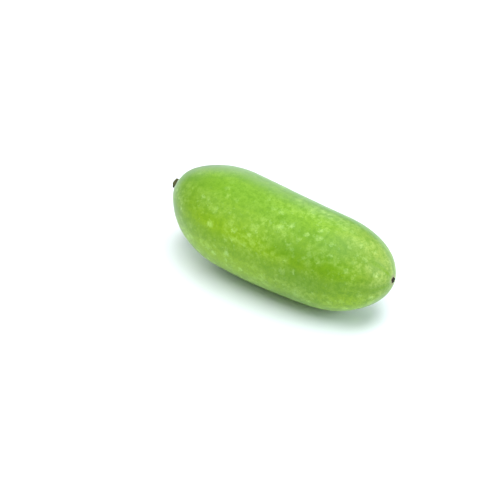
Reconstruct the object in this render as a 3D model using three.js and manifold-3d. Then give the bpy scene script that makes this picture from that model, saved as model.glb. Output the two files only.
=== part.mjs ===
// A young wax gourd (Benincasa hispida), picked and lying on its side: one oblong fruit, the short
// stub of its cut stalk, and the dried remains of its flower at the other end.
//
// Millimetres. +X runs along the fruit from the stalk to the blossom end, and +Z is up. The origin
// is at the middle of the bounding box's underside, on the surface that the gourd rests on.

import * as THREE from "three";
import { mergeVertices } from "three/addons/utils/BufferGeometryUtils.js";
import Module from "manifold-3d";

const wasm = await Module();
wasm.setup();

// ---- Driving dimensions -------------------------------------------------------------------------

const FRUIT = {
  length: 263.8, // from pole to pole, before the poles are hollowed
  heightShare: 0.988, // the section is this much lower than it is wide
  roundSteps: 60,
};
const HALF_LENGTH = FRUIT.length / 2;

// The half outline is three Bezier curves: the shoulder at the stalk, the flank, and the shoulder at
// the blossom end. A shoulder is a quarter of an oval, and its handles say how blunt it is.
const STALK_SHOULDER = {
  length: 83.9,
  radius: 53.1, // where the shoulder meets the flank
  slope: 0.002, // by how much the radius grows for each millimetre towards the fruit's middle
  poleHandle: 0.36, // shares of the radius and of the length
  flankHandle: 0.63,
  steps: 21,
};
const BLOSSOM_SHOULDER = {
  length: 71.5,
  radius: 49.4,
  slope: 0.054,
  poleHandle: 0.425,
  flankHandle: 0.616,
  steps: 19,
};
const FLANK_STEPS = 14;

// The fruit's centreline is a shallow curve: towards both ends it drifts to one side and up, and the
// slimmer blossom end hangs a little lower, so that the fruit balances on its belly.
const CENTRELINE = {
  sideways: 3.4,
  rise: 7.1,
  slope: -0.032,
};

// Six faint ribs, two for each of the three chambers inside, show most on the shoulders. A furrow
// between two of them runs from the blossom's scar over the front of the shoulder.
const RIBS = {
  count: 6,
  turn: Math.PI / 6,
  middleHeight: 0.15,
  shoulderHeight: 0.5,
  unevenness: 0.5, // no two ribs are alike
  fadeStart: 4, // radii over which they die out towards the poles
  fadeEnd: 30,
};

// Each pole lies in a shallow hollow, a little above the end of the centreline, and the blossom's
// also sits a little to one side.
const STALK_HOLLOW = { depth: 0.8, radius: 9, lift: 1.5, drift: 0 };
const BLOSSOM_HOLLOW = { depth: 0.8, radius: 5.5, lift: 2.8, drift: 1.9 };

// The belly is pressed flat where the fruit has lain.
const BELLY_FLAT_DEPTH = 0.8;

// The cut stalk is an angular, ribbed stub that flares where it joins the fruit.
const STALK = {
  length: 5.4, // from the bottom of its hollow to the cut face
  tipRadius: 5.6,
  flareRadius: 7,
  rimDepth: 0.8, // how far the worn rim of the cut face rounds over
  pithDepth: 0.6, // how far the dried pith has sunk below the rim
  rootDepth: 3, // how far the raw shape reaches into the fruit before it is cut back
  ribs: 5,
  ribShare: 0.07,
  tilt: 0.07, // radians, upwards
  roundSteps: 30,
};

// The dried flower leaves a low crown with five corners around a hollow and a nub.
const SCAR = {
  radius: 3,
  height: 0.9,
  hollowDepth: 0.5,
  rootDepth: 1.5,
  corners: 5,
  cornerShare: 0.1,
  roundSteps: 30,
};

// Neighbours keep this gap, so that no two solids share volume.
const FIT_GAP = 0.3;

// ---- Helpers ------------------------------------------------------------------------------------

// Turns a profile around the X axis: x is the place along the axis, and y the distance from it.
function latheAlongX(profile, roundSteps) {
  const upright = profile.map((point) => new THREE.Vector2(Math.max(point.y, 0), point.x));
  return new THREE.LatheGeometry(upright, roundSteps).rotateZ(-Math.PI / 2);
}

// Moves each vertex by a rule on its place along X, its distance from the axis and its angle.
function reshape(geometry, rule) {
  const position = geometry.getAttribute("position");
  for (let i = 0; i < position.count; i++) {
    const y = position.getY(i);
    const z = position.getZ(i);
    const moved = rule(position.getX(i), Math.hypot(y, z), Math.atan2(z, y));
    position.setXYZ(i, moved.x, moved.y, moved.z);
  }
  return geometry;
}

// A rule for reshape that gives a round section a number of blunt corners.
function cornered(count, share) {
  return (x, radius, angle) => {
    const reach = radius * (1 + share * Math.cos(count * angle));
    return { x, y: reach * Math.cos(angle), z: reach * Math.sin(angle) };
  };
}

function solidFrom(geometry) {
  const bare = geometry.clone();
  bare.deleteAttribute("normal");
  bare.deleteAttribute("uv");
  const merged = mergeVertices(bare, 1e-3);
  return new wasm.Manifold(
    new wasm.Mesh({
      numProp: 3,
      vertProperties: new Float32Array(merged.attributes.position.array),
      triVerts: new Uint32Array(merged.index.array),
    }),
  );
}

function geometryFrom(solid) {
  const { numProp, numVert, vertProperties, triVerts } = solid.getMesh();
  const points = new Float32Array(numVert * 3);
  for (let i = 0; i < numVert; i++) {
    points.set(vertProperties.subarray(i * numProp, i * numProp + 3), i * 3);
  }
  const geometry = new THREE.BufferGeometry();
  geometry.setAttribute("position", new THREE.BufferAttribute(points, 3));
  geometry.setIndex(new THREE.BufferAttribute(new Uint32Array(triVerts), 1));
  geometry.computeVertexNormals();
  return geometry;
}

function namedMesh(name, solid, material) {
  const mesh = new THREE.Mesh(geometryFrom(solid), material);
  mesh.name = name;
  return mesh;
}

// ---- Fruit --------------------------------------------------------------------------------------

function fruitProfile() {
  const stalk = STALK_SHOULDER;
  const blossom = BLOSSOM_SHOULDER;
  const flankStart = -HALF_LENGTH + stalk.length;
  const flankEnd = HALF_LENGTH - blossom.length;
  const third = (flankEnd - flankStart) / 3;
  const stalkReach = stalk.length * stalk.flankHandle;
  const blossomReach = blossom.length * blossom.flankHandle;
  const at = (x, radius) => new THREE.Vector2(x, radius);

  const stalkCurve = new THREE.CubicBezierCurve(
    at(-HALF_LENGTH, 0),
    at(-HALF_LENGTH, stalk.radius * stalk.poleHandle),
    at(flankStart - stalkReach, stalk.radius - stalk.slope * stalkReach),
    at(flankStart, stalk.radius),
  );
  const flankCurve = new THREE.CubicBezierCurve(
    at(flankStart, stalk.radius),
    at(flankStart + third, stalk.radius + stalk.slope * third),
    at(flankEnd - third, blossom.radius + blossom.slope * third),
    at(flankEnd, blossom.radius),
  );
  const blossomCurve = new THREE.CubicBezierCurve(
    at(flankEnd, blossom.radius),
    at(flankEnd + blossomReach, blossom.radius - blossom.slope * blossomReach),
    at(HALF_LENGTH, blossom.radius * blossom.poleHandle),
    at(HALF_LENGTH, 0),
  );
  return [
    ...stalkCurve.getPoints(stalk.steps),
    ...flankCurve.getPoints(FLANK_STEPS).slice(1),
    ...blossomCurve.getPoints(blossom.steps).slice(1),
  ];
}

// Where the middle of the section is, at a place along the fruit.
function centreline(x) {
  const share = x / HALF_LENGTH;
  return {
    y: CENTRELINE.sideways * share ** 2,
    z: CENTRELINE.rise * share ** 2 + CENTRELINE.slope * x,
  };
}

// How far the skin stands out of its round section.
function ribHeight(x, radius, angle) {
  const share = x / HALF_LENGTH;
  const shoulder = THREE.MathUtils.smoothstep(Math.abs(share), 0.25, 0.85);
  const height = THREE.MathUtils.lerp(RIBS.middleHeight, RIBS.shoulderHeight, shoulder);
  const fade = THREE.MathUtils.smoothstep(radius, RIBS.fadeStart, RIBS.fadeEnd);
  const around = angle + RIBS.turn;
  const uneven = 1 + RIBS.unevenness * Math.sin(2 * around + share);
  return height * fade * uneven * Math.cos(RIBS.count * around);
}

// The bottom of a hollow: side is -1 at the stalk and 1 at the blossom end.
function poleOf(side, { depth, lift, drift }) {
  const middle = centreline(side * HALF_LENGTH);
  return { x: side * (HALF_LENGTH - depth), y: middle.y + drift, z: middle.z + lift };
}

const stalkPole = poleOf(-1, STALK_HOLLOW);
const blossomPole = poleOf(1, BLOSSOM_HOLLOW);

function hollowDepth(y, z, pole, { depth, radius }) {
  const distance = Math.hypot(y - pole.y, z - pole.z);
  return depth * Math.exp(-((distance / radius) ** 2));
}

function skinPoint(x, radius, angle) {
  const middle = centreline(x);
  const reach = radius + ribHeight(x, radius, angle);
  const y = middle.y + reach * Math.cos(angle);
  const z = middle.z + reach * Math.sin(angle) * FRUIT.heightShare;
  const inward =
    x < 0
      ? hollowDepth(y, z, stalkPole, STALK_HOLLOW)
      : -hollowDepth(y, z, blossomPole, BLOSSOM_HOLLOW);
  const nearPole = Math.abs(x) > HALF_LENGTH / 2;
  return { x: nearPole ? x + inward : x, y, z };
}

function makeFruit() {
  const geometry = reshape(latheAlongX(fruitProfile(), FRUIT.roundSteps), skinPoint);
  geometry.computeBoundingBox();
  const floor = geometry.boundingBox.min.z + BELLY_FLAT_DEPTH;
  const side = FRUIT.length * 2;
  const belowFloor = new THREE.BoxGeometry(side, side, side).translate(0, 0, floor - side / 2);
  return solidFrom(geometry).subtract(solidFrom(belowFloor));
}

const fruit = makeFruit();

// ---- Stalk stub ---------------------------------------------------------------------------------

function makeStalkStub() {
  const { length, tipRadius, flareRadius, rimDepth, pithDepth, rootDepth } = STALK;
  const pith = length - pithDepth;
  // From the root in the fruit, up the flared side, over the rim and down to the pith.
  const outline = new THREE.Path()
    .moveTo(-rootDepth, 0)
    .lineTo(-rootDepth, flareRadius)
    .lineTo(0, flareRadius)
    .quadraticCurveTo(length * 0.2, tipRadius, length - rimDepth, tipRadius)
    .quadraticCurveTo(length, tipRadius, length, tipRadius * 0.75)
    .quadraticCurveTo(length, tipRadius * 0.45, pith, tipRadius * 0.3)
    .lineTo(pith, 0);
  const geometry = reshape(
    latheAlongX(outline.getPoints(4), STALK.roundSteps),
    cornered(STALK.ribs, STALK.ribShare),
  );
  geometry.rotateY(Math.PI + STALK.tilt);
  geometry.translate(stalkPole.x, stalkPole.y, stalkPole.z);
  return solidFrom(geometry).subtract(fruit.translate(-FIT_GAP, 0, 0));
}

// ---- Blossom scar -------------------------------------------------------------------------------

function makeBlossomScar() {
  const { radius, height, hollowDepth: sunk, rootDepth } = SCAR;
  // From the root in the fruit, over the crown, down into its hollow and up to the nub.
  const outline = new THREE.Path()
    .moveTo(-rootDepth, 0)
    .lineTo(-rootDepth, radius)
    .lineTo(height * 0.4, radius)
    .quadraticCurveTo(height, radius, height, radius * 0.75)
    .quadraticCurveTo(height - sunk, radius * 0.6, height - sunk, radius * 0.4)
    .quadraticCurveTo(height - sunk, radius * 0.2, height, 0);
  const geometry = reshape(
    latheAlongX(outline.getPoints(3), SCAR.roundSteps),
    cornered(SCAR.corners, SCAR.cornerShare),
  );
  geometry.translate(blossomPole.x, blossomPole.y, blossomPole.z);
  return solidFrom(geometry).subtract(fruit.translate(FIT_GAP, 0, 0));
}

// ---- Materials and assembly ---------------------------------------------------------------------

const skin = new THREE.MeshStandardMaterial({ color: 0x8cbe42, roughness: 0.42, metalness: 0 });
const dryStalk = new THREE.MeshStandardMaterial({ color: 0x5b4c33, roughness: 0.85, metalness: 0 });
const driedFlower = new THREE.MeshStandardMaterial({ color: 0x2a2212, roughness: 0.9, metalness: 0 });

const gourd = new THREE.Group();
gourd.name = "wax_gourd";
gourd.add(
  namedMesh("fruit", fruit, skin),
  namedMesh("stalk_stub", makeStalkStub(), dryStalk),
  namedMesh("blossom_scar", makeBlossomScar(), driedFlower),
);

// The origin goes to the middle of the bounding box's underside.
const extent = new THREE.Box3().setFromObject(gourd);
const middle = extent.getCenter(new THREE.Vector3());
gourd.position.set(-middle.x, -middle.y, -extent.min.z);

export default gourd;
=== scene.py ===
# %% [markdown]
# # A young wax gourd on a pale table
#
# A wax gourd, or winter melon, is a fruit the length of a forearm's lower half. Picked young, it has
# a smooth, satin, light green skin with pale flecks, a stub where its stalk was cut, and a black dot
# where the flower dried up.
#
# The solids come from the frame: they have the right size and lie in the right place. This file
# gives them a fine surface and a finish. It could also model the gourd again from nothing, but then
# the two shapes could differ, so every piece here starts from the solid that it stands for.

# %% Load the frame and keep its box
import math

import bmesh
import bpy
import numpy as np
from mathutils import Matrix, Vector, noise
from mathutils.bvhtree import BVHTree


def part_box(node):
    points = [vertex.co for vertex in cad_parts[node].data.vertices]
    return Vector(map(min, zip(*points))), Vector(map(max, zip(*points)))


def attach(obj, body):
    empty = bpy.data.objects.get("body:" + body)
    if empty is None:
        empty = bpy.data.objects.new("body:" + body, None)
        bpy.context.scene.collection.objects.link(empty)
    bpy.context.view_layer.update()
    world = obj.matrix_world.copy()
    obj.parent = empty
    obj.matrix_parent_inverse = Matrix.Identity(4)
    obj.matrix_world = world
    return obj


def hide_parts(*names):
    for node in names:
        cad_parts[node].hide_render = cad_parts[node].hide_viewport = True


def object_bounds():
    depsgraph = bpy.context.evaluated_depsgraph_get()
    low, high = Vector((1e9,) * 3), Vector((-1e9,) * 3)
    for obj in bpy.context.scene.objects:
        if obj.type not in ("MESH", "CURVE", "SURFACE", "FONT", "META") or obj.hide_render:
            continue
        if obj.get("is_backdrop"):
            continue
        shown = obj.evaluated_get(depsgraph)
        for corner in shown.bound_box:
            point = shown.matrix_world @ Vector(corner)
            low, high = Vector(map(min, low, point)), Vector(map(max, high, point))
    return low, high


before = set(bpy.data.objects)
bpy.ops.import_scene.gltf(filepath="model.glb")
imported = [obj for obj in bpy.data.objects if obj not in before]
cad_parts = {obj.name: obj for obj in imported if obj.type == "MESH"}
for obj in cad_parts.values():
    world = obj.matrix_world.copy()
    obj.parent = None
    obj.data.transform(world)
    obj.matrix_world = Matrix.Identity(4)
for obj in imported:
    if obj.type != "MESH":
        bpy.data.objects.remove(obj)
cad_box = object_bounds()
MM = 0.001

fruit_low, fruit_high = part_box("fruit")
fruit_middle = (fruit_low + fruit_high) / 2
fruit_size = fruit_high - fruit_low
print("the fruit's solid measures", [round(side / MM, 1) for side in fruit_size], "mm")

# %% [markdown]
# ## Where the two ends are
#
# The stalk's stub and the flower's scar have their own solids, so the middles of their boxes say
# where the skin draws together. Much of the finish depends on how far a point is from these two.

# %% The stalk's end and the blossom's end
stalk_low, stalk_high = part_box("stalk_stub")
scar_low, scar_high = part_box("blossom_scar")
stalk_pole = Vector((fruit_low.x, (stalk_low.y + stalk_high.y) / 2, (stalk_low.z + stalk_high.z) / 2))
blossom_pole = Vector((fruit_high.x, (scar_low.y + scar_high.y) / 2, (scar_low.z + scar_high.z) / 2))
for end, pole in (("stalk", stalk_pole), ("blossom", blossom_pole)):
    print("the", end, "end is at", [round(c / MM, 1) for c in pole], "mm")

# %% [markdown]
# ## The fruit's body
#
# The solid is faceted: its flat faces would show as soon as light glances along them. A fine surface
# could be remeshed from it or drawn again from its outline. Here the facets are only a cage. Their
# triangles are joined back into the four-sided faces that they were cut from, because Catmull-Clark
# subdivision rounds a cage of quads evenly and would ripple over triangles.

# %% Join the solid's triangles into quads
FACET_TURN = math.radians(35)  # the most that two triangles of one quad may be bent
FACET_SKEW = math.radians(70)  # and the most that their quad may be skewed


def quad_cage(node):
    cage = bmesh.new()
    cage.from_mesh(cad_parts[node].data)
    bmesh.ops.remove_doubles(cage, verts=cage.verts, dist=0.001 * MM)
    bmesh.ops.join_triangles(
        cage, faces=cage.faces, angle_face_threshold=FACET_TURN, angle_shape_threshold=FACET_SKEW
    )
    mesh = bpy.data.meshes.new(node + "_cage")
    cage.to_mesh(mesh)
    cage.free()
    return mesh


cage_mesh = quad_cage("fruit")
quads = sum(len(face.vertices) == 4 for face in cage_mesh.polygons)
print(f"{quads} of the cage's {len(cage_mesh.polygons)} faces are quads")

# %% [markdown]
# ## Rounding the cage
#
# A subdivision modifier can stay on an object, but the relief that comes next has to be pressed into
# real points. So the modifier goes on a passing object, and only the mesh that comes out is kept. Two
# rounds make faces about a millimetre wide, which is fine enough for everything but the skin's grain.

# %% Subdivide the cage
ROUNDS = 2  # each round turns a face into four


def put_in_scene(name, mesh):
    piece = bpy.data.objects.new(name, mesh)
    bpy.context.scene.collection.objects.link(piece)
    return piece


def smooth_shading(mesh):
    mesh.polygons.foreach_set("use_smooth", [True] * len(mesh.polygons))


def subdivided(mesh, rounds):
    cage = put_in_scene("cage", mesh)
    rounding = cage.modifiers.new("rounding", "SUBSURF")
    rounding.levels = rounding.render_levels = rounds
    rounded = cage.evaluated_get(bpy.context.evaluated_depsgraph_get())
    fine = bpy.data.meshes.new_from_object(rounded)
    bpy.data.objects.remove(cage)
    return fine


fruit_mesh = subdivided(cage_mesh, ROUNDS)
smooth_shading(fruit_mesh)
fruit = put_in_scene("fruit_skin", fruit_mesh)
print(f"the fruit has {len(fruit_mesh.polygons)} faces")

# %% [markdown]
# ## The skin's relief
#
# No gourd is as even as its outline. Its flanks swell and sink by a few tenths of a millimetre, which
# breaks up the edges of every highlight. Round the stalk the skin gathers into short furrows, and
# round the scar it puckers. These forms are wide enough for the mesh, so they are real geometry. The
# finest grain, finer than a face, is left to the material's bump.
#
# Subdivision also draws a cage in a little. So the skin is first let out by as much, and every form
# then goes inwards, which keeps the fruit within its solid's box.

# %% Measure the relief at a point
LET_OUT = 0.3 * MM
SWELL = {"width": 30 * MM, "depth": 0.35 * MM}
DENT = {"width": 9 * MM, "depth": 0.16 * MM}
FURROWS = {"count": 10, "depth": 0.45 * MM, "start": 6 * MM, "end": 26 * MM}
PUCKERS = {"count": 13, "depth": 0.2 * MM, "start": 3 * MM, "end": 12 * MM}


def smoothstep(start, end, value):
    share = min(max((value - start) / (end - start), 0.0), 1.0)
    return share * share * (3 - 2 * share)


def unevenness(point, width):
    """From 0 to 1, changing over about this width."""
    return 0.5 + 0.5 * noise.noise(point / width)


def radial_creases(point, pole, creases):
    """How deep the creases that run out from a pole are at a point."""
    from_pole = point - pole
    distance = from_pole.length
    if distance > creases["end"]:
        return 0.0
    rise = smoothstep(0, creases["start"], distance)
    fade = 1 - smoothstep(creases["start"], creases["end"], distance)
    waver = 1.6 * noise.noise(point / (14 * MM))
    around = math.atan2(from_pole.z, from_pole.y) * creases["count"] + waver
    return creases["depth"] * rise * fade * (0.5 + 0.5 * math.cos(around))


def relief(point):
    depth = SWELL["depth"] * unevenness(point, SWELL["width"]) - LET_OUT
    depth += DENT["depth"] * unevenness(point, DENT["width"])
    depth += radial_creases(point, stalk_pole, FURROWS)
    depth += radial_creases(point, blossom_pole, PUCKERS)
    return depth


# %% [markdown]
# ## Pressing the relief in
#
# A Displace modifier moves points along their normals by a texture. Here the depth depends on where
# the two ends are, so a loop does the same with a function. The normals are all read first, because
# each point that moves would turn its neighbours' normals. The belly is then laid flat on the table.

# %% Press the relief into the mesh
def press_in(mesh, depth_at):
    inwards = [-vertex.normal.copy() for vertex in mesh.vertices]
    for vertex, inward in zip(mesh.vertices, inwards):
        vertex.co += inward * depth_at(vertex.co.copy())
    mesh.update()


press_in(fruit_mesh, relief)
for vertex in fruit_mesh.vertices:
    vertex.co.z = max(vertex.co.z, 0.0)

solid_tree = BVHTree.FromObject(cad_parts["fruit"], bpy.context.evaluated_depsgraph_get())
gaps = [solid_tree.find_nearest(vertex.co)[3] for vertex in list(fruit_mesh.vertices)[::17]]
print(f"the skin is {np.mean(gaps) / MM:.2f} mm from the solid's surface")
print(f"and {max(gaps) / MM:.2f} mm at most")

# %% [markdown]
# ## The stalk's stub
#
# The stalk was cut a few millimetres above the fruit and has dried since: it is angular, with five
# ribs and fibres along them, and its cut face has sunk round the pith. It could be a cylinder with
# bumps, but its rim and its flare catch the light, so a profile is turned into rings round the X
# axis, as on a lathe. A few corners are enough for the profile, with a smooth curve through them.

# %% Turn a profile into a closed mesh
def turned(name, profile, steps, shape):
    """Rings of points round the X axis, closed by a point at each end. A profile is a list of
    (place along X, radius), and shape gives the real place of each (along, radius, angle)."""
    rings = profile[1:-1]
    points = [shape(profile[0][0], 0.0, 0.0)]
    for along, radius in rings:
        points += [shape(along, radius, 2 * math.pi * step / steps) for step in range(steps)]
    points.append(shape(profile[-1][0], 0.0, 0.0))
    last = len(points) - 1

    faces = []
    for step in range(steps):
        after = (step + 1) % steps
        faces.append((0, 1 + after, 1 + step))
        for scar_cork_and_sheen_ring in range(len(rings) - 1):
            near, far = 1 + scar_cork_and_sheen_ring * steps, 1 + (scar_cork_and_sheen_ring + 1) * steps
            faces.append((near + step, near + after, far + after, far + step))
        rim = 1 + (len(rings) - 1) * steps
        faces.append((rim + step, rim + after, last))

    mesh = bpy.data.meshes.new(name)
    mesh.from_pydata([tuple(point) for point in points], [], faces)
    mesh.validate()
    smooth_shading(mesh)
    return put_in_scene(name, mesh)


def rounded_profile(corners, steps):
    """Points on a smooth curve through corners, by Catmull-Rom, with steps between neighbours."""
    ends = [corners[0], *corners, corners[-1]]
    points = []
    for before, start, end, after in zip(ends, ends[1:], ends[2:], ends[3:]):
        for step in range(steps):
            t = step / steps
            points.append(
                tuple(
                    0.5
                    * (
                        2 * b
                        + (c - a) * t
                        + (2 * a - 5 * b + 4 * c - d) * t**2
                        + (3 * b - a - 3 * c + d) * t**3
                    )
                    for a, b, c, d in zip(before, start, end, after)
                )
            )
    return [*points, corners[-1]]


# %% [markdown]
# ## From turned rings to a stalk
#
# A turned shape is too even for a plant. So each ring is pulled out at five ribs and at finer fibres,
# and some noise wears it down, on the cut face too. The profile starts inside the fruit, where the
# flare is hidden, runs along the side, and turns in over the rim to the hollow of the pith.

# %% The stub itself
STUB_RIBS = 5
RIB_HEIGHT = 0.07  # a share of the radius, as are the fibres' heights and the roughness
FINE_FIBRES = {"count": 31, "height": 0.016}
COARSE_FIBRES = {"count": 17, "height": 0.02}
STUB_ROUGHNESS = 0.035
CUT_WEAR = 0.12 * MM
STUB_TILT = 0.07  # radians, upwards
STUB_SLIMNESS = 0.95  # a little slimmer than the solid, which keeps it inside
FLARED_WIDTH = 2.55  # where the stub joins the fruit, in radii
stub_length = stalk_pole.x - stalk_low.x
stub_radius = STUB_SLIMNESS * (stalk_high.y - stalk_low.y) / FLARED_WIDTH


def stub_point(along, radius, angle):
    rib = RIB_HEIGHT * math.cos(STUB_RIBS * angle)
    bent_angle = FINE_FIBRES["count"] * angle + 3 * math.sin(2 * angle)
    fibre = FINE_FIBRES["height"] * math.sin(bent_angle)
    fibre += COARSE_FIBRES["height"] * math.sin(COARSE_FIBRES["count"] * angle)
    spot = Vector((along, radius * math.cos(angle), radius * math.sin(angle))) / (1.1 * MM)
    rough = STUB_ROUGHNESS * noise.noise(spot)
    reach = radius * (1 + rib + (fibre if along > 0.3 * MM else 0) + rough)
    on_cut_face = radius < stub_radius * 0.95 and along > 0
    worn = CUT_WEAR * noise.noise(spot * 0.8) if on_cut_face else 0
    out = Vector((-(along + worn), reach * math.cos(angle), -reach * math.sin(angle)))
    return stalk_pole + Matrix.Rotation(STUB_TILT, 3, "Y") @ out


rim = stub_length - 0.45 * MM
stub_corners = [
    (-1.6 * MM, 0.0),
    (-1.6 * MM, stub_radius * 1.22),
    (-0.4 * MM, stub_radius * 1.25),
    (0.5 * MM, stub_radius * 1.12),
    (rim * 0.5, stub_radius * 0.99),
    (rim - 0.5 * MM, stub_radius * 1.0),
    (rim, stub_radius * 0.9),
    (rim - 0.1 * MM, stub_radius * 0.72),
    (rim - 0.55 * MM, stub_radius * 0.45),
    (rim - 1.1 * MM, stub_radius * 0.2),
    (rim - 1.0 * MM, 0.0),
]
stub = turned("stalk_stub_dry", rounded_profile(stub_corners, 5), 120, stub_point)
print(f"the stub stands {stub_length / MM:.1f} mm out and is {2 * stub_radius / MM:.1f} mm across")

# %% [markdown]
# ## The blossom's scar
#
# The flower sat on this end. What is left of it is a crumbly, nearly black crown with five corners, one
# for each petal, and a hollow where the style broke off. It is only as wide as a pea, but it is the
# darkest thing on the fruit, so its outline has to be ragged and not a disc. The stub's way of
# making a piece serves here too, with coarser noise, and with corners in place of ribs.

# %% The scar itself
SCAR_CORNERS = 5
CORNER_HEIGHT = 0.12  # a share of the radius, as are the raggedness and the crumbling
RAGGEDNESS = 0.16
CRUMBLING = 0.3
SCAR_WIDTH = 2.2  # across the corners, in radii
scar_radius = (scar_high.z - scar_low.z) / SCAR_WIDTH
scar_height = scar_high.x - scar_low.x
scar_base = Vector((scar_low.x - 0.1 * MM, blossom_pole.y, blossom_pole.z))


def scar_point(along, radius, angle):
    place = Vector((along, radius * math.cos(angle), radius * math.sin(angle)))
    corner = CORNER_HEIGHT * math.cos(SCAR_CORNERS * angle) + 0.05 * math.sin(3 * angle + 1)
    ragged = RAGGEDNESS * noise.noise(place / (0.9 * MM))
    crumble = CRUMBLING * noise.noise(place / (0.6 * MM) + Vector((7, 3, 1)))
    reach = radius * (1 + corner + ragged)
    lift = along * (1 + crumble) if along > 0 else along
    return scar_base + Vector((min(lift, scar_height), reach * math.cos(angle), reach * math.sin(angle)))


scar_corners = [
    (-1.2 * MM, 0.0),
    (-1.2 * MM, scar_radius * 0.95),
    (0.1 * MM, scar_radius * 1.0),
    (scar_height * 0.6, scar_radius * 0.94),
    (scar_height * 0.85, scar_radius * 0.78),
    (scar_height * 0.6, scar_radius * 0.6),
    (scar_height * 0.25, scar_radius * 0.42),
    (scar_height * 0.35, scar_radius * 0.22),
    (scar_height * 0.7, scar_radius * 0.1),
    (scar_height * 0.75, 0.0),
]
scar = turned("blossom_scar_dry", rounded_profile(scar_corners, 4), 90, scar_point)
print(f"the scar is {2 * scar_radius / MM:.1f} mm across")

# %% [markdown]
# ## Writing shader maths as sums
#
# A material's pattern is arithmetic on sockets. Placing each Math node by hand hides that, so this
# small class lets a socket take part in Python sums: each operator adds its own node. Every other
# kind of node comes from one method, which first sets the node up and then plugs it in.

# %% A socket that can be used in sums
class Wire:
    """With no socket, a wire only says in which tree the next node is made."""

    def __init__(self, tree, socket=None):
        self.tree = tree
        self.socket = socket

    def node(self, kind, settings=None, inputs=None, output=0):
        made = self.tree.nodes.new("ShaderNode" + kind)
        for name, value in (settings or {}).items():
            setattr(made, name, value)
        for key, value in (inputs or {}).items():
            if isinstance(value, Wire):
                self.tree.links.new(value.socket, made.inputs[key])
            else:
                made.inputs[key].default_value = value
        return Wire(self.tree, made.outputs[output])

    def maths(self, operation, *values):
        return self.node("Math", {"operation": operation}, dict(enumerate(values)))

    def __add__(self, other):
        return self.maths("ADD", self, other)

    def __sub__(self, other):
        return self.maths("SUBTRACT", self, other)

    def __mul__(self, other):
        return self.maths("MULTIPLY", self, other)

    def __truediv__(self, other):
        return self.maths("DIVIDE", self, other)

    def __radd__(self, other):
        return self.maths("ADD", other, self)

    def __rsub__(self, other):
        return self.maths("SUBTRACT", other, self)

    def __rmul__(self, other):
        return self.maths("MULTIPLY", other, self)


# %% [markdown]
# ## A few tools for every finish
#
# The patterns here depend on the place on the object, so no surface has to be unwrapped, and nothing
# is stretched where the fruit narrows. A material starts with that place in millimetres. Noise, a
# distance or a wave then gives a number, a soft step makes a mask of it, and a mask blends colours.

# %% Helpers for places, masks and colours
def new_material(name):
    """A new material, its shader, and the place on the object in millimetres."""
    material = bpy.data.materials.new(name)
    material.use_nodes = True
    shader = material.node_tree.nodes["Principled BSDF"]
    metres = Wire(material.node_tree).node("TexCoord", output="Object")
    place = metres.node("VectorMath", {"operation": "SCALE"}, {0: metres, "Scale": 1 / MM})
    return material, shader, place


def plug(shader, name, value):
    if isinstance(value, Wire):
        value.tree.links.new(value.socket, shader.inputs[name])
    else:
        shader.inputs[name].default_value = value


def ease(value, start, end):
    """0 before start and 1 after end, with a soft passage between them."""
    return value.node(
        "MapRange",
        {"interpolation_type": "SMOOTHSTEP"},
        {"Value": value, "From Min": start, "From Max": end, "To Min": 0.0, "To Max": 1.0},
    )


def grain(place, width, detail=2.0, roughness=0.5):
    """Noise from 0 to 1 whose forms are about width millimetres wide."""
    return place.node(
        "TexNoise",
        {"noise_dimensions": "3D"},
        {"Vector": place, "Scale": 1 / width, "Detail": detail, "Roughness": roughness},
        "Fac",
    )


def distance_to(place, point):
    return place.node("VectorMath", {"operation": "DISTANCE"}, {0: place, 1: point / MM}, "Value")


def blend(factor, first, second):
    return factor.node(
        "Mix", {"data_type": "RGBA", "clamp_factor": True}, {0: factor, 6: first, 7: second}, 2
    )


def linear(red, green, blue):
    """A colour given as it looks on a screen, from 0 to 255, as the shader wants it."""
    shares = [channel / 255 for channel in (red, green, blue)]
    light = [share / 12.92 if share < 0.04045 else ((share + 0.055) / 1.055) ** 2.4 for share in shares]
    return (*light, 1.0)


# %% [markdown]
# ## Pale flecks in the skin
#
# The green of a gourd's skin is thinner round its pores, which leaves pale flecks half a millimetre
# to five millimetres wide. They could be painted as an image, but an image has one fixed resolution.
# A Voronoi texture gives each fleck a cell of its own: the cell's random colour says whether it has a
# fleck, how wide and how pale it is. A little noise added to the place makes the outlines ragged.

# %% Flecks of one size
def flecks(place, cell, narrowest, widest, share):
    """1 inside pale flecks and 0 between them. Share says how many of the cells have one."""
    cells = {"Vector": place, "Scale": 1 / cell, "Randomness": 1.0}
    settings = {"feature": "F1", "voronoi_dimensions": "3D"}
    distance = place.node("TexVoronoi", settings, cells, "Distance") * cell
    chance = place.node("TexVoronoi", settings, cells, "Color")
    size = chance.node("SeparateColor", {}, {"Color": chance}, "Red")
    luck = chance.node("SeparateColor", {}, {"Color": chance}, "Green")
    paleness = chance.node("SeparateColor", {}, {"Color": chance}, "Blue")
    radius = narrowest + (widest - narrowest) * size
    inside = ease(distance / radius, 1.2, 0.1)
    return inside * ease(share - luck, 0.0, 0.1) * (0.3 + 0.7 * paleness)


def warped(place, width, reach):
    """The place, moved about by up to reach millimetres."""
    waves = {"Vector": place, "Scale": 1 / width, "Detail": 2.0}
    wander = place.node("TexNoise", {"noise_dimensions": "3D"}, waves, "Color")
    centred = wander.node("VectorMath", {"operation": "SUBTRACT"}, {0: wander, 1: (0.5, 0.5, 0.5)})
    moved = centred.node("VectorMath", {"operation": "SCALE"}, {0: centred, "Scale": 2 * reach})
    return moved.node("VectorMath", {"operation": "ADD"}, {0: place, 1: moved})
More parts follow.
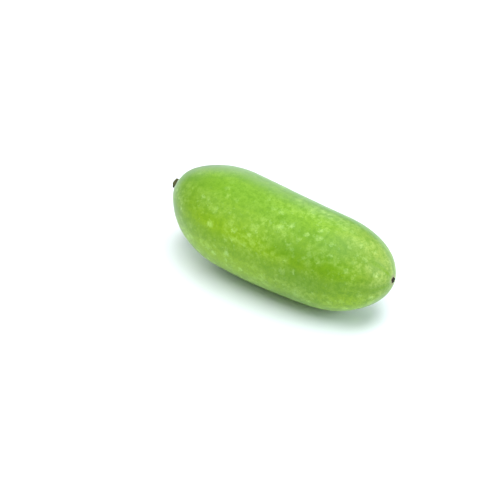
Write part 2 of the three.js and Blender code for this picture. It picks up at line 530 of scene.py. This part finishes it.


# %% [markdown]
# ## Soft patches of another green
#
# The green also changes slowly over the whole fruit: the belly is pale, the neck is deep green with
# painted shade, the ridge is lighter with painted light, and the blossom's end is paler and yellower.
# One gradient can't say all that, and painted weights would have to be redone whenever the mesh
# changes. So each patch is an ellipsoid with a wide, soft edge, given by its centre and its reach,
# and the patches are laid over the body's green one by one.

# %% One soft patch
def patch(place, centre, reach):
    """1 in the middle of a soft patch and 0 outside it. The centre, from the fruit's middle, and the
    reach to each side are shares of the fruit's half size along each axis."""
    half_size = fruit_size / 2 / MM
    middle = fruit_middle / MM + half_size * Vector(centre)
    offset = place.node("VectorMath", {"operation": "SUBTRACT"}, {0: place, 1: middle})
    shares = offset.node("VectorMath", {"operation": "DIVIDE"}, {0: offset, 1: half_size * Vector(reach)})
    away = shares.node("VectorMath", {"operation": "LENGTH"}, {0: shares}, "Value")
    return ease(away, 1.0, 0.15)


# %% [markdown]
# ## Furrows between six ribs
#
# The fruit has six ribs, too faint to change its outline. What shows is painted into the colour: the
# furrows between them are painted a little deeper green as shade, and they draw together at the scar
# as plain green creases of painted shade. The furrows also have fewer flecks, which is the skin's own
# pattern. The angle round the fruit, times six, goes into a cosine, and some noise makes the lines
# wander. Near the blossom's end the angle is taken round the scar, which sits off the axis.

# %% A wave that is high in the furrows
RIBS = 6
FURROW_START = math.radians(112)  # where one furrow runs past the fruit's middle
FURROW_TWIST = math.radians(0.07)  # for each millimetre along the fruit
DRAWN_TO_SCAR = (50.0, 120.0)  # from and to where, in millimetres past the middle


def furrow_wave(place):
    """1 at the bottom of the furrows and -1 on top of the ribs."""
    parts = [place.node("SeparateXYZ", {}, {"Vector": place}, axis) for axis in "XYZ"]
    along, across, up = (part - middle / MM for part, middle in zip(parts, fruit_middle))
    drift, lift = (blossom_pole - fruit_middle).yz / MM
    near_scar = ease(along, *DRAWN_TO_SCAR)
    across, up = across - drift * near_scar, up - lift * near_scar
    angle = up.maths("ARCTAN2", up, across) - FURROW_START - along * FURROW_TWIST
    waver = 1.6 * grain(place, 30.0) - 0.8
    wave = angle * RIBS + waver
    return wave.maths("COSINE", wave)


# %% [markdown]
# ## The skin's greens
#
# A green is mostly a matter of how little blue it has: the skin's base colour has next to none, and
# the bluish look of the far side comes from the light. Where a fruit lay out of the sun it stays
# pale. The neck's deep green is painted shade from its leaf, and the ridge's lighter green is painted
# light where the top is lit. These zones could be painted on the mesh, but that would be a picture.
# So each is a soft patch, laid over the ones before it, and its place is told in shares of the
# fruit's size, so that it would follow a longer or a thicker fruit.
#
# The flecks are told by how much lighter they are than the green round them, so that a fleck on the
# deep green neck isn't as bright as one on the belly. They crowd together in two places and leave a
# clearing beside them. In the neck and along the back they are rarer and fainter. On the belly the
# green itself is smoother, and the flecks a little larger and brighter.

# %% Greens, and where they are
BODY_GREEN = linear(100, 145, 15)
# used for the skin's own darker mottling and for the painted shade in the furrows
DEEP_GREEN = linear(70, 130, 5)
# painted shade: the neck's deep green stands for the shade of its leaf
NECK_PAINTED_SHADE_GREEN = linear(60, 105, 15)
# painted light: the ridge's green is lighter where light falls on the top
RIDGE_PAINTED_LIGHT_GREEN = linear(136, 178, 45)
BELLY_GREEN = linear(150, 190, 30)
PALE_GREEN = linear(190, 220, 70)
STRAW_GREEN = linear(150, 175, 75)
# painted shade: the creases' deeper green at the blossom's end
CREASE_PAINTED_SHADE_GREEN = linear(120, 160, 5)
FLECK_LIGHT = (0.20, 0.24, 0.12, 1.0)  # added to the green round a fleck
# pale cork: its colour round the scar is partly a painted sheen, round the stalk the collar's own
CORK_AND_PAINTED_SHEEN = linear(150, 150, 104)
BELLY = ((-0.25, -1, 0), (1.25, 2, 1.25))
PATCHES = (  # centre and reach in half sizes of the fruit, and the green in the middle
    (*BELLY, BELLY_GREEN),
    ((0.25, 0, -1), (1, 1, 0.75), PALE_GREEN),  # the underside, out of the sun
    ((0, -0.25, 1), (1.5, 0.75, 1), RIDGE_PAINTED_LIGHT_GREEN),  # the ridge: lighter, painted light where the top is lit
    ((-0.75, 0.25, 0.5), (0.75, 0.5, 1), NECK_PAINTED_SHADE_GREEN),  # the neck: deep green, painted shade from its leaf
    ((0, 0.5, 1), (1, 1, 0.25), BODY_GREEN),  # the back, behind the ridge
    ((0.75, -0.5, -0.25), (0.5, 1, 1), BELLY_GREEN),  # the belly goes on round the blossom's end
    ((0.8, 0, 0.25), (0.5, 0.75, 1), STRAW_GREEN),  # the end itself, above the scar
)
CROWDS = (  # where the flecks crowd together
    ((-0.5, -0.75, 0.75), (0.25, 0.25, 0.25)),
    ((0, -1, 0.25), (0.25, 0.25, 0.25)),
)
CLEARING = ((0.25, -0.75, 0.5), (0.25, 0.25, 0.25))  # where there is hardly one
QUIET_NECK = ((-0.5, 0, 1), (1, 1, 1))  # where they are rare and faint
QUIET_BACK = ((0, 1, 0.25), (1, 1, 1.5))
LARGE_FLECKS = {"cell": 8.0, "narrowest": 2.2, "widest": 5.4}
SMALL_FLECKS = {"cell": 3.6, "narrowest": 0.8, "widest": 2.1}


def skin_body(place, furrow_shade_and_flecks, middling, belly):
    """The green under the flecks."""
    body = BODY_GREEN
    for centre, reach, green in PATCHES:
        body = blend(patch(place, centre, reach), body, green)
    # painted shade: the furrows are a little deeper green
    body = blend(furrow_shade_and_flecks * 0.25, body, DEEP_GREEN)
    body = blend(patch(place, *CLEARING) * 0.3, body, DEEP_GREEN)
    return blend(ease(middling, 0.6, 0.3) * (0.32 - 0.14 * belly), body, DEEP_GREEN)


def paleness_of_flecks(place, furrow_shade_and_flecks, middling, belly):
    """How much of the flecks' light is added. They gather in clouds between the furrows."""
    gathering = ease(grain(place, 19.0, 2.0), 0.38, 0.6) * (1 - 0.6 * furrow_shade_and_flecks)
    for crowd in CROWDS:
        gathering = gathering.maths("MAXIMUM", gathering, patch(place, *crowd) * 0.8)
    gathering = gathering * (1 - 0.8 * patch(place, *CLEARING))
    neck, back = patch(place, *QUIET_NECK), patch(place, *QUIET_BACK)
    quiet = neck.maths("MAXIMUM", neck, back * 0.5)
    share = (0.22 + 0.58 * gathering) * (1 - 0.5 * quiet) + 0.1 * belly
    ragged = warped(place, 3.0, 3.5)
    large = flecks(ragged, share=share, **LARGE_FLECKS)
    small = flecks(ragged, share=share, **SMALL_FLECKS)
    cloud = gathering * ease(middling, 0.4, 0.65) * 0.35
    speckled = large.maths("MAXIMUM", large, small * 0.5)
    speckled = speckled.maths("MAXIMUM", speckled, cloud)
    return speckled * (1 - 0.65 * quiet) * (1 + 0.2 * belly)


# %% [markdown]
# ## The whole skin
#
# One material brings these together and adds what lies at the two ends: a corky ring round the scar,
# whose paleness is partly a painted sheen at the scar's edge, and a paler collar round the stalk. The
# skin is satin: it has a soft, weak gloss, and the short hairs of a young fruit catch the light along
# its edges. The hairs are too fine to model, so the shader's sheen stands for them. The bump is only
# for grain that is finer than the mesh's faces.

# %% The skin
GLOSS = 0.15
HAIRS = 0.15  # how strong the sheen is
HAIR_LIGHT = (0.75, 0.78, 1.0, 1.0)
SKIN_GRAIN = 0.25 * MM  # the height of the bumps


def make_skin():
    material, shader, place = new_material("gourd_skin")
    from_stalk = distance_to(place, stalk_pole)
    from_scar = distance_to(place, blossom_pole)
    middling = grain(place, 5.0, 3.0)
    fine = grain(place, 1.4, 3.0, 0.6)
    wave = furrow_wave(place)
    # the furrows' and creases' masks carry painted shade, and fewer flecks
    furrow_shade_and_flecks = ease(wave, 0.0, 0.95)
    crease_shade_and_flecks = ease(wave, 0.75, 1.0) * ease(from_scar, 48.0, 22.0)

    belly = patch(place, *BELLY)
    body = skin_body(place, furrow_shade_and_flecks, middling, belly)
    pale = paleness_of_flecks(place, furrow_shade_and_flecks, middling, belly)
    pale = pale * (0.8 + 0.2 * ease(fine, 0.3, 0.6)) * (1 - 0.7 * crease_shade_and_flecks)
    adding = {"data_type": "RGBA", "blend_type": "ADD"}
    lighter = body.node("Mix", adding, {0: 1.0, 6: body, 7: FLECK_LIGHT}, 2)
    # painted shade: the creases at the blossom's end are a plainer, deeper green
    colour = blend(pale, blend(crease_shade_and_flecks * 0.6, body, CREASE_PAINTED_SHADE_GREEN), lighter)
    colour = blend(ease(fine, 0.62, 0.28) * (0.45 - 0.18 * belly), colour, DEEP_GREEN)
    # a corky ring round the scar; its paleness is partly a painted sheen at the scar's edge
    scar_cork_and_sheen_ring = ease(from_scar, 7.5, 3.5)
    colour = blend(scar_cork_and_sheen_ring * 0.8, colour, CORK_AND_PAINTED_SHEEN)
    collar = ease(from_stalk, 11.0, 6.5)
    colour = blend(collar * 0.5, colour, CORK_AND_PAINTED_SHEEN)
    plug(shader, "Base Color", colour)

    plug(shader, "Roughness", 0.28 + 0.1 * middling + 0.08 * pale)
    height = 0.5 * fine + 0.3 * middling + 0.25 * pale
    bumps = {"Strength": 0.35, "Distance": SKIN_GRAIN, "Height": height}
    bump = height.node("Bump", {}, bumps, "Normal")
    plug(shader, "Normal", bump)
    plug(shader, "Specular IOR Level", GLOSS)
    plug(shader, "Sheen Weight", HAIRS)
    plug(shader, "Sheen Roughness", 0.5)
    plug(shader, "Sheen Tint", HAIR_LIGHT)
    return material


fruit.data.materials.append(make_skin())
print(f"the skin has {len(fruit.data.materials[0].node_tree.nodes)} nodes")

# %% [markdown]
# ## Dry stalk and dried flower
#
# Both are dead plant matter: dull, fibrous and dark. The stalk's fibres run along it, so its noise is
# stretched in that direction. The flower has no direction left and is only mottled.

# %% Two dry finishes
BARK = linear(98, 102, 54)
DARK_BARK = linear(50, 46, 26)
BLACK_BROWN = linear(30, 24, 14)
DUSTY_BROWN = linear(78, 62, 40)


def make_dry_stalk():
    material, shader, place = new_material("dry_stalk")
    stretched = place.node("VectorMath", {"operation": "MULTIPLY"}, {0: place, 1: (0.25, 1.0, 1.0)})
    fibres = grain(stretched, 0.45, 3.0, 0.65)
    stains = grain(place, 2.4, 2.0)
    from_tip = place.node("SeparateXYZ", {}, {"Vector": place}, "X") - stalk_low.x / MM
    cut_face = ease(from_tip, 1.4, 0.6)
    colour = blend(ease(fibres, 0.35, 0.65), DARK_BARK, BARK)
    colour = blend(ease(stains, 0.45, 0.65) * 0.6, colour, DARK_BARK)
    colour = blend(cut_face * 0.7, colour, DARK_BARK)
    plug(shader, "Base Color", colour)
    plug(shader, "Roughness", 0.75 + 0.2 * fibres)
    bump = fibres.node("Bump", {}, {"Strength": 0.6, "Distance": 0.15 * MM, "Height": fibres}, "Normal")
    plug(shader, "Normal", bump)
    return material


def make_dried_flower():
    material, shader, place = new_material("dried_flower")
    crumbs = grain(place, 0.5, 3.0, 0.6)
    colour = blend(ease(crumbs, 0.5, 0.8), BLACK_BROWN, DUSTY_BROWN)
    plug(shader, "Base Color", colour)
    plug(shader, "Roughness", 0.9)
    bump = crumbs.node("Bump", {}, {"Strength": 0.7, "Distance": 0.2 * MM, "Height": crumbs}, "Normal")
    plug(shader, "Normal", bump)
    return material


stub.data.materials.append(make_dry_stalk())
scar.data.materials.append(make_dried_flower())
print("finishes:", [piece.data.materials[0].name for piece in (fruit, stub, scar)])

# %% [markdown]
# ## Riding on the frame
# Each piece moves with the root body, and is printed with the solid that it stands for. The solids
# themselves are then hidden.

# %% Hang each piece on the root body and hide its solid
for piece, node, slot in (
    (fruit, "fruit", "skin"),
    (stub, "stalk_stub", "dry_stalk"),
    (scar, "blossom_scar", "dried_flower"),
):
    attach(piece, "root")
    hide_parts(node)
    print(piece.name, "stands for", node, "with", len(piece.data.polygons), "faces")

# %% [markdown]
# ## The table
#
# The gourd lies on a plain white table. A square one would show its corners from low down, so it is a
# wide disc. It is lit a little beyond white, as for a catalogue, so that only the shadow close to the
# fruit is left of it. Its white is slightly cool, because the fruit throws green light on it.

# %% The table
TABLE_RADIUS = 1.8
TABLE_WHITE = (0.87, 0.91, 0.96, 1.0)
round_top = bmesh.new()
bmesh.ops.create_circle(round_top, cap_ends=True, segments=96, radius=TABLE_RADIUS)
table_mesh = bpy.data.meshes.new("table_top")
round_top.to_mesh(table_mesh)
round_top.free()
table = put_in_scene("table_top", table_mesh)
table_material, table_shader, _ = new_material("white_table")
plug(table_shader, "Base Color", TABLE_WHITE)
plug(table_shader, "Roughness", 0.6)
table.data.materials.append(table_material)
table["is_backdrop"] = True
print(f"the table is {2 * TABLE_RADIUS:.1f} m across")

# %% [markdown]
# ## Panels of light
#
# In a bright room light comes from everywhere, but not evenly. A single lamp would leave a hard edged
# shadow, and a picture of a room to light with would be a file of its own. So each bright part of the
# room is a large panel that faces the fruit: the ceiling, the window on the blossom's side, and the
# pale walls behind and on the stalk's side. A large panel close by gives a soft shadow, and the
# camera doesn't see the panels themselves.

# %% One panel of light
LAMP_DISTANCE = 3.0


def direction(azimuth, elevation):
    """Where a thing stands, seen from the fruit. Azimuth 0 is the front, and 90 the blossom's side."""
    turn, climb = math.radians(azimuth), math.radians(elevation)
    return Vector((math.sin(turn) * math.cos(climb), -math.cos(turn) * math.cos(climb), math.sin(climb)))


def softbox(name, azimuth, elevation, size, glow, tint):
    """A panel that faces the fruit. Glow is its brightness: a white table under 1 looks white."""
    width, height = size
    light = bpy.data.lights.new(name, "AREA")
    light.shape = "RECTANGLE"
    light.size, light.size_y = width, height
    light.energy = glow * math.pi * width * height
    light.color = tint
    lamp = put_in_scene(name, light)
    away = direction(azimuth, elevation)
    lamp.location = away * LAMP_DISTANCE
    lamp.rotation_euler = away.to_track_quat("Z", "Y").to_euler()
    lamp.visible_camera = False
    return lamp


# %% [markdown]
# ## Where the light comes from
#
# The two brightest panels set the form: the ceiling lights the ridge, and the window the blossom's
# end. The walls behind are dimmer. They only draw a pale line along the fruit's upper edge, which
# parts it from the table. A leafy tint on the left keeps the shaded neck green.

# %% The panels
WHITE = (1.0, 1.0, 1.0)
COOL = (0.9, 1.0, 1.1)
LEAFY = (1.0, 1.1, 1.0)
PANELS = (  # azimuth and elevation in degrees, size in metres, glow, tint
    ("ceiling", 90, 85, (3.5, 2.0), 5.5, WHITE),
    ("window", 100, 30, (2.0, 1.5), 5.0, COOL),
    ("wall_behind", 225, 15, (2.5, 1.5), 3.0, WHITE),
    ("wall_behind_high", 205, 35, (2.5, 1.5), 1.0, COOL),
    ("wall_beyond_window", 135, 15, (2.5, 1.5), 1.0, WHITE),
    ("wall_left", 315, 45, (2.5, 1.5), 2.5, LEAFY),
)
for panel in PANELS:
    softbox(*panel)
print("panels of light:", [panel[0] for panel in PANELS])

# %% [markdown]
# ## The room's far walls
#
# The world is what a ray of light meets where nothing else stands. A white world would light the
# fruit from all sides and wash out its shading, and a dark one would be a black horizon behind the
# table. So it hardly glows, except where it is looked at directly.

# %% A white background that hardly lights the fruit
ROOM_GLOW = 0.02
WALL_GLOW = 1.1
COOL_WHITE = (0.97, 0.98, 1.0, 1.0)
world = bpy.data.worlds.new("white_room")
world.use_nodes = True
walls = world.node_tree.nodes["Background"]
looked_at = Wire(world.node_tree).node("LightPath", output="Is Camera Ray")
plug(walls, "Color", COOL_WHITE)
plug(walls, "Strength", ROOM_GLOW + (WALL_GLOW - ROOM_GLOW) * looked_at)
scene = bpy.context.scene
scene.world = world
scene.view_settings.view_transform = "Standard"
print("the room glows", ROOM_GLOW, "on the fruit and", WALL_GLOW, "behind it")

# %% [markdown]
# ## The camera
#
# The view is from the front right and well above, from a little over a metre away. A long lens keeps
# the fruit's far end from shrinking. The place is worked out from two angles and a distance round the
# point that the camera looks at.

# %% The camera
AZIMUTH = 35.5  # degrees
ELEVATION = 38
DISTANCE = 1.15
LENS = 84  # millimetres, on a sensor 36 mm wide
aim = fruit_middle + Vector((-32, -23, -3)) * MM
back = direction(AZIMUTH, ELEVATION)
camera_data = bpy.data.cameras.new("camera")
camera_data.lens = LENS
camera_data.sensor_width = 36
camera_data.clip_start = 0.01
camera = put_in_scene("camera", camera_data)
camera.location = aim + back * DISTANCE
camera.rotation_euler = back.to_track_quat("Z", "Y").to_euler()
scene.camera = camera
print("the camera is at", [round(c, 3) for c in camera.location])

# %% [markdown]
# ## Sizes
#
# The dressed model may not outgrow its solids, so both boxes are printed side by side.

# %% Print both sizes
sizes = {
    "cad": [list(corner) for corner in cad_box],
    "visual": [list(corner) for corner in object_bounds()],
}
for name, (low, high) in sizes.items():
    print(name, [round((h - l) / MM, 2) for l, h in zip(low, high)], "mm")
